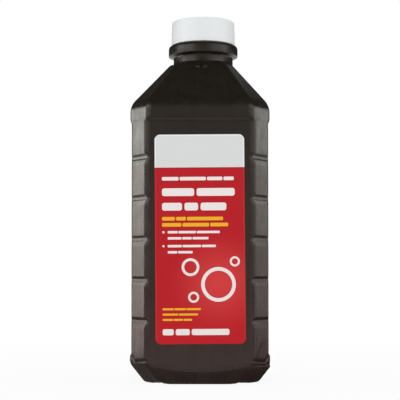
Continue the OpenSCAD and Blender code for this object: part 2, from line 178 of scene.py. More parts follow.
# ======== mesh helpers
def add_object(name, data):
    made = bpy.data.objects.new(name, data)
    bpy.context.scene.collection.objects.link(made)
    return made


def add_mesh(name, points, faces, smooth=True):
    """A mesh object from points in millimetres."""
    mesh = bpy.data.meshes.new(name)
    mesh.from_pydata((np.asarray(points) * MM).tolist(), [], faces)
    mesh.validate()
    mesh.polygons.foreach_set("use_smooth", [smooth] * len(mesh.polygons))
    mesh.update()
    return add_object(name, mesh)


def strip(a, b, count):
    """Faces between two closed rows of count points that begin at points a and b."""
    turned = [(j, (j + 1) % count) for j in range(count)]
    return [(a + j, a + k, b + k, b + j) for j, k in turned]


def loft(rows):
    """Points and faces of a closed skin over closed rows of equal length, up the
    outside and down the inside. Each end closes in a fan."""
    count = len(rows[0])
    points = np.concatenate(rows + [rows[0].mean(0)[None], rows[-1].mean(0)[None]])
    first, last = len(rows) * count, (len(rows) - 1) * count
    faces = []
    for i in range(len(rows) - 1):
        faces += strip(i * count, (i + 1) * count, count)
    for j in range(count):
        k = (j + 1) % count
        faces.append((first, k, j))
        faces.append((first + 1, last + j, last + k))
    return points, faces


def merge(parts):
    """One list of points and one of faces from several (points, faces)."""
    points, faces, base = [], [], 0
    for p, f in parts:
        points.append(np.asarray(p, float))
        faces += [tuple(i + base for i in face) for face in f]
        base += len(p)
    return np.concatenate(points), faces


def at_height(xy, z):
    """Points of a flat outline at a height, or at a list of heights."""
    return np.column_stack([xy, np.zeros(len(xy)) + z])


def turns(steps):
    """The angles of evenly spaced steps around a circle."""
    return np.linspace(0, 2 * pi, steps + 1)[:-1]


def rounded(stations, reach, steps=4, measure=slice(None)):
    """A run of station vectors with its inner corners rounded off. reach is how far
    each rounding goes along its legs; measure picks the entries that are distances."""
    most, least = 0.48, 1e-6  # the largest share of a leg, the shortest leg
    s = [np.asarray(v, float) for v in stations]
    out = [s[0]]
    for i in range(1, len(s) - 1):
        here = s[i]
        r = reach[i - 1] if hasattr(reach, "__len__") else reach
        legs = [leg - here for leg in (s[i - 1], s[i + 1])]
        a, b = [here + leg * min(most, r / max(np.linalg.norm(leg[measure]), least)) for leg in legs]
        for k in range(steps + 1):
            t = k / steps
            out.append((1 - t) ** 2 * a + 2 * t * (1 - t) * here + t ** 2 * b)
    return out + [s[-1]]


def smoothstep(x):
    x = np.clip(x, 0, 1)
    return x * x * (3 - 2 * x)


# ======== body outline
def drawn_in(cut, t):
    """The cut of a chamfer whose outline, chamfers included, is drawn in by t."""
    return cut - t * (CHAMFER_NX + CHAMFER_NY - 1)


def quarter(hx, hy, cut, r):
    """The outline from the middle of the front to the middle of the right side."""
    turn = FRONT_TURN
    flat_x = hx - cut / CHAMFER_NX - r * tan(turn / 2)
    flat_y = hy - cut / CHAMFER_NY - r * tan((pi / 2 - turn) / 2)
    out = [(flat_x * i / FRONT_SPLITS, hy) for i in range(FRONT_SPLITS)]
    for a in np.linspace(0, turn, ARC_SPLITS + 1):
        out.append((flat_x + r * sin(a), hy - r + r * cos(a)))
    start = np.array(out[-1])
    end = np.array((hx - r + r * sin(turn), flat_y + r * cos(turn)))
    for i in range(1, CHAMFER_SPLITS):
        out.append(tuple(start + (end - start) * i / CHAMFER_SPLITS))
    for a in np.linspace(turn, pi / 2, ARC_SPLITS + 1):
        out.append((hx - r + r * sin(a), flat_y + r * cos(a)))
    for i in range(1, SIDE_SPLITS):
        out.append((hx, flat_y * (1 - i / SIDE_SPLITS)))
    out += [(hx, y) for y in SEAM_AT]
    out.append((hx, 0.0))
    return np.array(out)


def around(q):
    """The closed outline that a quarter makes, counter-clockwise from above."""
    return np.concatenate([
        q * (1, -1),
        q[-2::-1],
        q[1:] * (-1, 1),
        q[-2:0:-1] * (-1, -1)])


OUTLINE = around(quarter(BAND_X, BAND_Y, BAND_CUT, EDGE_R))
SEAM_COLUMNS = [i for i, p in enumerate(OUTLINE) if abs(p[1]) < 1e-9]


def row(hx, hy, cut, r, z, shift=0.0):
    """One closed row of the body at a height, or at a list of heights."""
    return at_height(around(quarter(hx, hy, cut, r)) + (shift, 0), z)


def bow(hx, hy, cut, r, z_mid, z_end, z_side, lift=BOW_LIFT):
    """Heights along an outline: a sag across the front, then over the chamfers a
    small lift, a slight fall and the rise to the sides. The lift is a share of
    the whole rise."""
    x = np.abs(around(quarter(hx, hy, cut, r))[:, 0])
    flat_x = hx - cut / CHAMFER_NX - r * tan(FRONT_TURN / 2)
    across = (x - flat_x) / (hx - flat_x)
    lifted, fallen, fall = 0.2, 0.8, 0.3
    rise = np.interp(across, (0.0, lifted, fallen, 1.0), (0.0, lift, lift - fall, 1.0))
    return np.where(x < flat_x, z_mid + (z_end - z_mid) * (x / flat_x) ** 2,
                    z_end + (z_side - z_end) * rise)


def leaned(half, lean, r, z):
    """Half size of a wall that leans in above SHOULDER_Z, its bend rounded to r."""
    t = r * tan(lean / 2)
    up = z - SHOULDER_Z
    if up <= -t:
        return half
    if up >= t * cos(lean):
        return half - up * tan(lean)
    return half - r + sqrt(r * r - (up + t) ** 2)


def shoulder_row(z, t):
    """A row of the sloped shoulder, drawn in by t."""
    k = max(0.0, (z - SHOULDER_Z) / (FACET_TOP_Z - SHOULDER_Z))
    cut = drawn_in(BAND_CUT + (CHAMFER_CUT * FACET_END - BAND_CUT) * k, t)
    return row(leaned(BAND_X, SIDE_LEAN, SIDE_BEND_R, z) - t,
               leaned(BAND_Y, FRONT_LEAN, FRONT_BEND_R, z) - t,
               cut, EDGE_R * (1 - k / 2), z, SHOULDER_X * k)


def groove_cut(z):
    """How much deeper the grooves make the chamfers at height z: a steep upper wall,
    a narrow floor, a low lower lip and a long ramp below it."""
    weights = np.exp(-BLUR_TAPS ** 2 / 2)
    total = 0.0
    for tap, weight in zip(BLUR_TAPS, weights / weights.sum()):
        off = min((z + tap * GROOVE_BLUR - zc for zc in GROOVE_Z), key=abs)
        total += weight * np.interp(off, GROOVE_AT, GROOVE_CUT)
    return total


def base_rows():
    """Rows from the middle of the base up over the lower band, which stands proud
    on the sides. A station is hx, hy, cut, r, its bow and the bow's lift."""
    stations = [(FOOT_X - inset, FOOT_Y - inset, BAND_CUT * share, r, z, z, z, BOW_LIFT)
                for inset, share, r, z in BASE_RINGS]
    near_y = GRIP_Y + FRONT_PROUD
    near_cut = BAND_CUT - (BAND_Y - near_y) * CHAMFER_NY
    grip_cut = drawn_in(CHAMFER_CUT, STEP_IN) + LOW_GROOVE
    stations += [(BAND_X - BEVEL_IN, near_y - BEVEL_IN, near_cut, EDGE_R, *BEVEL_TOP, BEVEL_LIFT),
                 (BAND_X, near_y, near_cut, EDGE_R, *BAND_TOP, BOW_LIFT),
                 (GRIP_X, GRIP_Y, grip_cut, EDGE_R - LOW_GROOVE_EDGE, *GRIP_FOOT, BOW_LIFT)]
    reach = (2.2, 1.0, 1.4, 2.2, 0.6)
    return [row(*s[:4], bow(*s)) for s in rounded(stations, reach, 5, [0, 1, 6])]


def grip_rows():
    """Rows of the grip zone: the half groove, rows that level out, the grooves."""
    cut = drawn_in(CHAMFER_CUT, STEP_IN)
    rows = []
    for up, share in LOW_GROOVE_FADE:
        sag = bow(GRIP_X, GRIP_Y, cut, EDGE_R, *(z + up for z in GRIP_FOOT))
        rows.append(row(GRIP_X, GRIP_Y, cut + LOW_GROOVE * share, EDGE_R - LOW_GROOVE_EDGE * share, sag))
    rows += [row(GRIP_X, GRIP_Y, cut, EDGE_R, sag + (LEVEL_Z - sag) * t) for t in LEVELLING]
    heights = [zc + off for zc in GROOVE_Z for off in GROOVE_ROWS]
    for low_z, high_z in zip(GROOVE_Z, GROOVE_Z[1:] + [TOP_STEP_Z + STEP_RISE]):
        heights += list(np.linspace(low_z + GROOVE_ROWS[-1], high_z + GROOVE_ROWS[0],
                                    BETWEEN_GROOVES)[1:-1])
    for z in [LEVEL_Z] + sorted(heights):
        g = groove_cut(z)
        rows.append(row(GRIP_X, GRIP_Y, cut + g, EDGE_R - GROOVE_EDGE * g / GROOVE_DEPTH, z))
    return rows


def outer_rows():
    """Rows of the outside, from the middle of the base to the shoulder's top."""
    grip = (GRIP_X, GRIP_Y, drawn_in(CHAMFER_CUT, STEP_IN), EDGE_R)
    band = (BAND_X, BAND_Y, BAND_CUT, EDGE_R)
    step = [(*grip, TOP_STEP_Z - STEP_RUN_IN), (*grip, TOP_STEP_Z - STEP_RISE),
            (*band, TOP_STEP_Z + STEP_RISE), (*band, TOP_STEP_Z + STEP_RUN_OUT)]
    rows = base_rows() + grip_rows()
    rows += [row(*s) for s in rounded(step, STEP_RISE, 5, [0, 4])]
    below = BEND_REACH * 1.05  # the rows begin a little below the bend itself
    bend = SHOULDER_Z + np.linspace(-below, BEND_REACH, BEND_ROWS)
    slope = np.linspace(SHOULDER_Z + BEND_REACH, FACET_TOP_Z, BEND_ROWS)[1:]
    return rows + [shoulder_row(z, 0) for z in (*bend, *slope)]


def neck_ring(angles, r, z):
    """A ring around the neck's axis."""
    xy = np.column_stack([NECK_X + r * np.cos(angles), r * np.sin(angles)])
    return at_height(xy, z)


def blend_to_neck(top, angles):
    """Rows from the shoulder's outline to the round neck, in a hollow curve."""
    target = neck_ring(angles, NECK_ROOT_R, NECK_ROOT_Z)
    hollow = 1.2  # 1 is a straight slope
    rows = []
    for i in range(1, ROOT_ROWS + 1):
        t = i / ROOT_ROWS
        here = top + (target - top) * (1 - (1 - t) ** hollow)
        here[:, 2] = top[:, 2] + (NECK_ROOT_Z - top[:, 2]) * t
        rows.append(here)
    return rows


def inner_rows(angles):
    """Rows of the inside, from the neck's foot down to the middle of the base."""
    t = WALL / cos(SIDE_LEAN)
    cut = drawn_in(CHAMFER_CUT, STEP_IN + WALL) + GROOVE_DEPTH
    rows = [neck_ring(angles, NECK_BORE_R, z) for z in (NECK_ROOT_Z, FACET_TOP_Z)]
    first = FACET_TOP_Z - 1.6  # the first row below the neck's round foot
    rows += [shoulder_row(z, t) for z in np.linspace(first, SHOULDER_Z - BEND_REACH, INNER_ROWS)]
    stations = [(GRIP_X - WALL, GRIP_Y - WALL, cut, EDGE_R, z) for z in (TOP_STEP_Z, INNER_BEND_Z)]
    stations += [(FOOT_X - inset, FOOT_Y - inset, CHAMFER_CUT * share, r, z)
                 for inset, share, r, z in INNER_RINGS]
    rows += [row(*s) for s in rounded(stations, (2, 1.5, 1, 1), 3, [0, 1, 4])]
    return rows


def helix_ridge(wall_r, crest_r, z, start=0.0):
    """A right-hand thread ridge with tapered ends, as a closed solid. Its middle
    lies on the helix that passes height z at angle 0."""
    out = 1 if crest_r > wall_r else -1
    per_turn, taper, base, crest = 72, 9, 2.1, 0.8
    lead, sunk, edge_r = 0.15, 0.4, 0.28  # height of its ends, depth of its root
    count = int(ceil(THREAD_TURNS * per_turn))
    slope = (base - crest) / 2 / (THREAD_R - FINISH_R)
    root, root_half = wall_r - out * sunk, base / 2 + slope * sunk
    rows = []
    for i in range(count + 1):
        along = start + i / per_turn
        k = float(smoothstep(min(1.0, i / taper, (count - i) / taper)))
        tip = wall_r + out * lead + (crest_r - wall_r - out * lead) * k
        half = crest / 2 + slope * abs(crest_r - tip)
        section = rounded([(root, -root_half), (tip, -half), (tip, half), (root, root_half)],
                          edge_r, 3)
        a, up = 2 * pi * along, z + PITCH * along
        rows.append(np.array([(r * cos(a) + NECK_X, r * sin(a), up + h)
                              for r, h in section]))
    points, faces = loft(rows)
    return points, faces if out < 0 else [f[::-1] for f in faces]


def lathe(profile, angles):
    """Rings around the neck's axis; a radius of 0 is kept a little open."""
    return [neck_ring(angles, max(r, 1e-4), z) for r, z in profile]


# ======== the bottle
def small_forms(points):
    """The unevenness that follows no outline: the lower right corner's fuller bevel
    and crease, and the arches beside the corner feet."""
    p = points.copy()
    x, y, z = p.T
    p[:, 0] += np.interp(z, BULGE_Z, BULGE) * smoothstep((x - BULGE_X) / BULGE_RUN)
    # the crease: a ledge across the right front chamfer
    off = x - np.interp(z, CREASE_Z, CREASE_X)
    fade = (smoothstep((z - CREASE_Z[0]) / CREASE_FADE[0])
            * smoothstep((CREASE_END_Z - z) / CREASE_FADE[1]))
    ledge = (smoothstep((off + CREASE_STEP[0]) / CREASE_STEP[1])
             * np.clip((CREASE_LEDGE[0] - off) / CREASE_LEDGE[1], 0, 1))
    depth = CREASE_DEPTH * ledge * fade * (y < CREASE_FRONT_Y)
    p[:, 0] -= depth * CHAMFER_NX
    p[:, 1] += depth * CHAMFER_NY
    # the arches in the foot's edge
    near = np.exp(-((np.abs(x) - ARCH_X) / ARCH_HALF) ** 2)
    near += ARCH_SIDE * smoothstep((np.abs(x) - ARCH_SIDE_X) / ARCH_SIDE_RUN)
    edge = smoothstep((np.abs(y) - ARCH_Y) / ARCH_Y_RUN) * (1 - smoothstep(z / ARCH_TOP_Z))
    p[:, 2] += ARCH_H * np.clip(near, 0, 1) * edge
    return p


def neck_profile():
    """Radius and height up the neck, over the mouth and down the bore."""
    corners = [(NECK_R, NECK_ROOT_Z + 0.5), (NECK_R, COLLAR_UNDER[0]), (COLLAR_R, COLLAR_UNDER[1]),
               (COLLAR_R, COLLAR_TOP_Z), (FINISH_R, COLLAR_TOP_Z), (FINISH_R, MOUTH_Z),
               (BORE_R, MOUTH_Z), (BORE_R, BORE_CONE[1]), (NECK_BORE_R, BORE_CONE[0]),
               (NECK_BORE_R, NECK_ROOT_Z + 0.6)]
    return rounded(corners, (0.4, 0.12, 1.6, 0.4, 0.35, 0.35, 0.6, 0.6))


def make_bottle():
    """The body: a closed shell with its thread ridge and lug."""
    outer = [small_forms(r) for r in outer_rows()]
    # the parting line down both sides
    for r in outer:
        for c in SEAM_COLUMNS:
            if r[c, 2] > SEAM_FROM_Z and abs(r[c, 0]) > SEAM_FROM_X:
                r[c, 0] += copysign(SEAM_H, r[c, 0])
    top = outer[-1]
    angles = np.unwrap(np.arctan2(top[:, 1], top[:, 0] - NECK_X))
    outer += blend_to_neck(top, angles) + lathe(neck_profile(), angles)
    shell = loft(outer + inner_rows(angles))
    ridge = helix_ridge(FINISH_R, THREAD_R, RIDGE_Z)
    piece = add_mesh("bottle_shell", *merge([shell, ridge, lug()]))
    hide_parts("bottle_body")
    return piece


def stadium(length, height, steps=10):
    """Outline of a bar with round ends, counter-clockwise, centred on 0, 0."""
    r = height / 2
    out = []
    for s, start in ((1, -90), (-1, 90)):
        for i in range(steps + 1):
            a = radians(start + 180 * i / steps)
            out.append((s * (length / 2 - r) + r * cos(a), r * sin(a)))
    return np.array(out)


def lug():
    """The small locating lug on the front slope: a low bar and the domes at its two
    ends. A solid is a list of outlines and their heights."""
    z = FACET_TOP_Z - LUG_H / 2 - LUG_DROP
    origin = np.array((SHOULDER_X, -leaned(BAND_Y, FRONT_LEAN, FRONT_BEND_R, z), z))
    across = np.array((1.0, 0, 0))
    up = np.array((0, sin(FRONT_LEAN), cos(FRONT_LEAN)))
    out = np.cross(across, up)
    solids = [[(stadium(LUG_W - 2 * inset, LUG_H - 2 * inset), height)
               for inset, height in LUG_BAR]]
    for side in (-LUG_DOME_AT, LUG_DOME_AT):
        dome = [(circle(LUG_DOME) + (side, 0), -LUG_SUNK)]
        dome += [(circle(LUG_DOME * cos(a)) + (side, 0), LUG_DOME * sin(a))
                 for a in np.radians(LUG_DOME_TURNS)]
        solids.append(dome)
    return merge([loft([origin + flat[:, :1] * across + flat[:, 1:] * up + height * out
                        for flat, height in solid]) for solid in solids])


# ======== cap and closures
CAP_ANGLES = turns(ROUND_SPLITS)


def make_cap():
    """The screw cap: a lathed shell with a sunk top, and its thread ridge."""
    low_r, low_z, top_z = cad_disc("screw_cap")
    roof = cad_disc("cap_liner")[2] + ROOF_GAP
    corners = [(0, top_z - CAP_DISH), (CAP_DISH_R, top_z - CAP_DISH), (CAP_RING_R, top_z),
               (CAP_TOP_R, top_z), (low_r, low_z + CAP_LIP), (low_r, low_z),
               (CAP_BORE_R + CAP_MOUTH[0], low_z), (CAP_BORE_R, low_z + CAP_MOUTH[1]),
               (CAP_BORE_R, roof), (0, roof)]
    shape = rounded(corners, (0.2, 0.25, 1.0, 0.5, 0.28, 0.2, 0.2, 0.35), 6)
    shell = loft(lathe(shape[::-1], CAP_ANGLES))
    ridge = helix_ridge(CAP_BORE_R, CAP_RIDGE_R, RIDGE_Z - CAP_RIDGE_DROP, CAP_RIDGE_START)
    piece = add_mesh("cap_shell", *merge([shell, ridge]))
    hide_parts("screw_cap")
    return piece


def make_liner():
    """The board liner, with the ring that the mouth's rim has pressed into it."""
    r, low, high = cad_disc("cap_liner")
    corners = [(0, low), (BORE_R - DENT_IN, low), (BORE_R, low + DENT), (FINISH_R, low + DENT),
               (FINISH_R + DENT_OUT, low), (r, low), (r, high), (0, high)]
    profile = rounded(corners, (0.2, 0.2, 0.2, 0.2, 0.12, 0.12), 3)
    piece = add_mesh("liner_board", *loft(lathe(profile, CAP_ANGLES)))
    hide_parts("cap_liner")
    return piece


def make_seal():
    """The foil seal: flat over the rim, with a shallow dish inside."""
    r, low, high = cad_disc("foil_seal")
    least = 1e-3  # the middle is kept a little open
    upper = [neck_ring(CAP_ANGLES, max(r * k, least), high)
             for k in np.linspace(0, 1, DISC_RINGS)[::-1]]
    for ring in upper:
        away = np.hypot(ring[:, 0] - NECK_X, ring[:, 1])
        turn = np.arctan2(ring[:, 1], ring[:, 0] - NECK_X)
        crinkle = sum(height * np.sin(count * turn + outward * away + start)
                      for height, count, outward, start in CRINKLES)
        ring[:, 2] -= smoothstep((BORE_R - DISH_IN - away) / DISH_RUN) * (DISH + crinkle)
    under = [ring - (0, 0, high - low) for ring in upper[::-1]]
    piece = add_mesh("seal_membrane", *loft(under + upper))
    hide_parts("foil_seal")
    return piece


# ======== labels
# sizes in label coordinates: x across, y up from the middle, z out of the label
LABEL_W, LABEL_H, LABEL_T = 42.6, 99.3, 0.12
LABEL_TILT = radians(0.4)
BAND_H, BACK_BAND_H = 15.7, 9.0  # the head bands of the front and back label
INK_SUNK, INK_H, INK_EDGE = 0.01, 0.03, 0.01
INK_LOW, INK_HIGH = LABEL_T - INK_SUNK, LABEL_T + INK_H
WORD_GAP, WORD_ROUND = 0.32, 0.28  # shares of a word bar's height
# lines of text on the front: right end, middle, height, and where the words break
TEXT_LEFT, TEXT_INDENT = -17.9, 2.6
HEAD_LINES = (
    (16.2, 28.6, 1.7, (0.24, 0.62, 0.85)),
    (16.6, 22.2, 3.7, (0.46,)),
    (12.6, 15.3, 3.7, (0.33, 0.58)))
LIST_LINES = (
    (9.4, 3.2, 1.15, (0.2, 0.55)),
    (4.0, 0.3, 1.15, (0.35, 0.6)),
    (7.5, -3.4, 1.15, (0.3, 0.7)),
    (-3.5, -6.3, 1.15, (0.4,)))
FOOT_LINES = ((13.6, -44.0, 2.9, (0.18, 0.42)),)
YELLOW_LINES = (
    (11.0, 9.6, 1.7, (0.22, 0.4)),
    (13.4, 6.7, 1.7, (0.3, 0.72)),
    (0.2, -33.2, 0.95, (0.3, 0.62)),
    (-1.2, -35.7, 0.95, (0.45,)),
    (-4.0, -38.2, 0.95, (0.36, 0.7)))
DOTS_Y, DOT_R, DOT_AT = (3.2, -3.4), 0.55, 0.6
# bubbles: middle, radius and the width of their line
BUBBLES = (
    (8.6, -21.6, 8.2, 1.7), (-4.6, -13.4, 4.2, 1.25),
    (-3.2, -27.6, 2.6, 1.0), (16.4, -10.8, 2.4, 0.95))
# the back label's table: frame, rules and lines of text
FRAME_W, FRAME_TOP, FRAME_FOOT = 37.6, 37.0, -45.0
FRAME_R, FRAME_INNER_R, FRAME_IN = 1.0, 0.7, 0.7
RULES_Y, RULE_H, RULE_IN, RULE_R = (28.5, 16.0, -4.5, -22.0, -33.0), 0.3, 0.8, 0.1
BACK_LEFT, BACK_TEXT_W, WORD_LEAST = -17.2, 34.4, 0.12
BACK_PITCH, BACK_FIRST, BACK_LAST = 2.2, 2.3, 2.0
HEADING_H, HEADING_SHARE, TEXT_H, TEXT_SHARE = 1.2, 0.45, 0.75, 0.72
BACK_TITLE = ((9.0, 45.2, 2.6, (0.4,)),)


def rounded_box(width, height, r, steps=8):
    """Outline of a box with round corners, counter-clockwise, centred on 0, 0."""
    out = []
    for cx, cy, start in ((1, -1, -90), (1, 1, 0), (-1, 1, 90), (-1, -1, 180)):
        for i in range(steps + 1):
            a = radians(start + 90 * i / steps)
            out.append((cx * (width / 2 - r) + r * cos(a),
                        cy * (height / 2 - r) + r * sin(a)))
    return np.array(out)


def plate(outline):
    """A printed mark: a thin closed plate over an outline, its upper edge rounded."""
    shrunk = outline * (1 - INK_EDGE / np.abs(outline).max())
    levels = ((outline, INK_LOW), (outline, INK_HIGH - INK_EDGE), (shrunk, INK_HIGH))
    return loft([at_height(*level) for level in levels])


def ring_plate(outer, inner):
    """A printed band between two outlines with equal numbers of points."""
    count = len(outer)
    levels = ((outer, INK_LOW), (outer, INK_HIGH), (inner, INK_HIGH), (inner, INK_LOW))
    points = np.concatenate([at_height(*level) for level in levels])
    faces = []
    for k in range(len(levels)):
        faces += strip(k * count, (k + 1) % len(levels) * count, count)
    return points, faces


def moved(part, x, y):
    points, faces = part
    return points + (x, y, 0), faces


def on_front(points):
    """Label coordinates of the front label to the part's frame."""
    c, s = cos(LABEL_TILT), sin(LABEL_TILT)
    x, y, z = points.T
    return np.column_stack([x * c - y * s, -GRIP_Y - z, FRONT_MID_Z + x * s + y * c])


def on_back(points):
    """The same for the back label."""
    x, y, z = points.T
    return np.column_stack([-x, GRIP_Y + z, BACK_MID_Z + y])


def word_bars(left, right, y, height, breaks):
    """A line of greeked words: bars with round ends, split at the given shares."""
    cuts = [0.0] + list(breaks) + [1.0]
    gap = height * WORD_GAP
    parts = []
    for a, b in zip(cuts, cuts[1:]):
        x0 = left + (right - left) * a + (gap / 2 if a else 0)
        x1 = left + (right - left) * b - (gap / 2 if b < 1 else 0)
        bar = rounded_box(x1 - x0, height, height * WORD_ROUND, 4)
        parts.append(moved(plate(bar), (x0 + x1) / 2, y))
    return parts


def text_lines(left, lines):
    return [bar for line in lines for bar in word_bars(left, *line)]


def circle(r, steps=64):
    a = turns(steps)
    return np.column_stack([r * np.cos(a), r * np.sin(a)])


def bubble(x, y, r, stroke):
    return moved(ring_plate(circle(r), circle(r - stroke)), x, y)


def print_piece(name, parts, place, material):
    points, faces = merge(parts)
    piece = add_mesh(name, place(points), faces, smooth=False)
    piece.data.materials.append(material)
    return piece


# ======== node helpers
def add_node(tree, kind, inputs=None, **settings):
    """A node with its settings and inputs; an input given as a socket is linked."""
    made = tree.nodes.new("ShaderNode" + kind)
    for name, value in settings.items():
        setattr(made, name, value)
    for name, value in (inputs or {}).items():
        if isinstance(value, bpy.types.NodeSocket):
            tree.links.new(value, made.inputs[name])
        else:
            made.inputs[name].default_value = value
    return made


def maths(tree, operation, a, b=0.0):
    return add_node(tree, "Math", {0: a, 1: b}, operation=operation).outputs[0]


def times(tree, a, b):
    return maths(tree, "MULTIPLY", a, b)


def vector(tree, operation, a, b=(0, 0, 0), output="Vector"):
    return add_node(tree, "VectorMath", {0: a, 1: b}, operation=operation).outputs[output]


def split(tree, source):
    """The X, Y and Z sockets of a vector."""
    return add_node(tree, "SeparateXYZ", {0: source}).outputs


def blend(tree, factor, a, b):
    """Colour a turned into colour b by a factor. Sockets 6 and 7 are the colours."""
    inputs = {"Factor": factor, 6: a, 7: b}
    return add_node(tree, "Mix", inputs, data_type="RGBA").outputs[2]


def ranged(tree, value, low, high, out_low=0.0, out_high=1.0):
    """A value's way from low to high, as a smooth step from out_low to out_high."""
    inputs = {"Value": value, "From Min": low, "From Max": high, "To Min": out_low, "To Max": out_high}
    return add_node(tree, "MapRange", inputs, interpolation_type="SMOOTHSTEP").outputs["Result"]


def fade(tree, value, span, a, b):
    """Colour a turned into colour b while a value goes over a span."""
    return blend(tree, ranged(tree, value, *span), a, b)


def place_mm(tree, stretch=(1.0, 1.0, 1.0)):
    """The piece's own coordinates in millimetres, stretched by an axis."""
    coords = add_node(tree, "TexCoord").outputs["Object"]
    return vector(tree, "MULTIPLY", coords, [share / MM for share in stretch])


def noise(tree, name):
    """One of the NOISES, over the piece's own coordinates."""
    scale, detail, rough, *stretch = NOISES[name]
    inputs = {"Vector": place_mm(tree, *stretch), "Scale": scale, "Detail": detail, "Roughness": rough}
    return add_node(tree, "TexNoise", inputs).outputs["Fac"]


def bump(tree, name, under=None, height=None):
    """A bump by one of the BUMPS' depths on top of another normal. Its height is
    the noise of the same name where none is given."""
    height = noise(tree, name) if height is None else height
    inputs = {"Height": height, "Distance": BUMPS[name] * MM, "Strength": 1.0}
    if under is not None:
        inputs["Normal"] = under
    return add_node(tree, "Bump", inputs).outputs["Normal"]


def srgb(r, g, b):
    """A display colour in 0 to 255 as linear RGBA."""
    def linear(v):
        v /= 255
        return v / 12.92 if v <= 0.04045 else ((v + 0.055) / 1.055) ** 2.4
    return (linear(r), linear(g), linear(b), 1.0)


def empty_tree(owner):
    """The emptied node tree of a material or world."""
    owner.use_nodes = True
    owner.node_tree.nodes.clear()
    return owner.node_tree


def show(tree, shader, output="OutputMaterial"):
    tree.links.new(shader.outputs[0], add_node(tree, output).inputs["Surface"])


def new_material(name):
    material = bpy.data.materials.new(name)
    tree = empty_tree(material)
    shader = add_node(tree, "BsdfPrincipled")
    show(tree, shader)
    return material, tree, shader


def dress(tree, shader, colour, normal=None, rough=None, **constants):
    """Links a shader's colour, normal and roughness, and sets constants by name."""
    for name, value in (("Base Color", colour), ("Roughness", rough), ("Normal", normal)):
        if value is not None:
            tree.links.new(value, shader.inputs[name])
    for name, value in constants.items():
        shader.inputs[name.replace("_", " ")].default_value = value


# ======== looks
WHITE = (1.0, 1.0, 1.0, 1.0)
BOTTLE_DARK = srgb(31, 26, 19)
# painted light: the bottle's colour lower down, lighter and warmer, and redder near the foot
BOTTLE_WARM_LIGHT = srgb(45, 36, 30)
BOTTLE_RED_LIGHT = srgb(47, 34, 31)
BOTTLE_SCUFF = srgb(96, 88, 80)
CAP_WHITE_A = srgb(231, 235, 236)
CAP_WHITE_B = srgb(236, 239, 240)
BOARD_DARK = srgb(214, 204, 184)
BOARD_PALE = srgb(235, 228, 212)
BOARD_SPECK = srgb(176, 160, 134)
FOIL_DARK = srgb(196, 198, 202)
FOIL_PALE = srgb(222, 223, 226)
RED_TOP = srgb(188, 8, 24)
RED_LOW = srgb(194, 10, 26)
RED_GLOW = srgb(218, 62, 62)
# painted highlight along the white band's edge
BAND_GREY = srgb(222, 225, 224)
BAND_EDGE_HIGHLIGHT = srgb(240, 242, 242)
FILM_DARK = srgb(222, 224, 223)
FILM_WHITE = srgb(232, 233, 232)
FLOOR_DARK = srgb(228, 228, 228)
FLOOR_PALE = srgb(233, 233, 233)

# features per mm, detail, roughness, and a scale by axis that draws some out
NOISES = {
    "waves": (0.05, 1.0, 0.5), "die lines": (0.55, 2.0, 0.5, (1.0, 1.0, 0.035)),
    "skin": (3.2, 3.0, 0.6), "mottle": (0.16, 2.0, 0.5), "rubbing": (1.1, 3.0, 0.65),
    "flow marks": (0.3, 1.0, 0.5, (1.0, 1.0, 0.1)), "cap grain": (4.0, 2.0, 0.5),
    "fibres": (2.4, 4.0, 0.7, (1.0, 0.25, 1.0)), "specks": (1.7, 2.0, 0.5),
    "brushing": (5.0, 2.0, 0.5, (0.08, 1.0, 1.0)), "foil dents": (0.5, 3.0, 0.5),
    "film grain": (5.0, 2.0, 0.5), "film waves": (0.08, 1.0, 0.5), "ink mottle": (1.4, 2.0, 0.5),
    "floor mottle": (0.02, 2.0, 0.5)}
# depths in mm
BUMPS = {
    "waves": 0.35, "die lines": 0.022, "skin": 0.004, "flow marks": 0.03, "cap grain": 0.006,
    "fibres": 0.03, "foil grid": 0.02, "foil dents": 0.06, "film grain": 0.003, "film waves": 0.12}
# the part of a noise's range that shows, and what it turns into
STREAKS_SEEN, STREAK_SHADE = (0.3, 0.7), (0.86, 1.12)
STREAKS_FELT, BOTTLE_ROUGH = (0.35, 0.65), (0.26, 0.35)
GRAIN_FELT, CAP_ROUGH, FOIL_ROUGH = (0.3, 0.7), (0.4, 0.5), (0.34, 0.46)
SPECKS_SEEN = (0.62, 0.72)
FILM_SEEN, FILM_PALE = (0.35, 0.65), 0.008
# heights over which the bottle's colour takes on painted warm, then red, light from the floor, and its
# foot is rubbed
WARM_LIGHT_Z, RED_LIGHT_Z, RUB_Z, RUB_SEEN = (140.0, 60.0), (70.0, 20.0), (2.4, 0.2), (0.5, 0.66)
SCUFF_PALE, SCUFF_ROUGH = 0.35, 0.25
GRID_TURN, GRID_LINE = 3.4, 0.35  # the foil's grid: turn per mm, line's share
# the front label's glow, the place where its red deepens, and its paler edge, a painted highlight
GLOW_AT, GLOW_R, GLOW_SHARE, DEEPER_FROM = (9.0, -20.5), 26.0, 0.85, -20.0
HIGHLIGHT_RIM, HIGHLIGHT_RIM_SHARE = (0.75, 0.45), 0.25


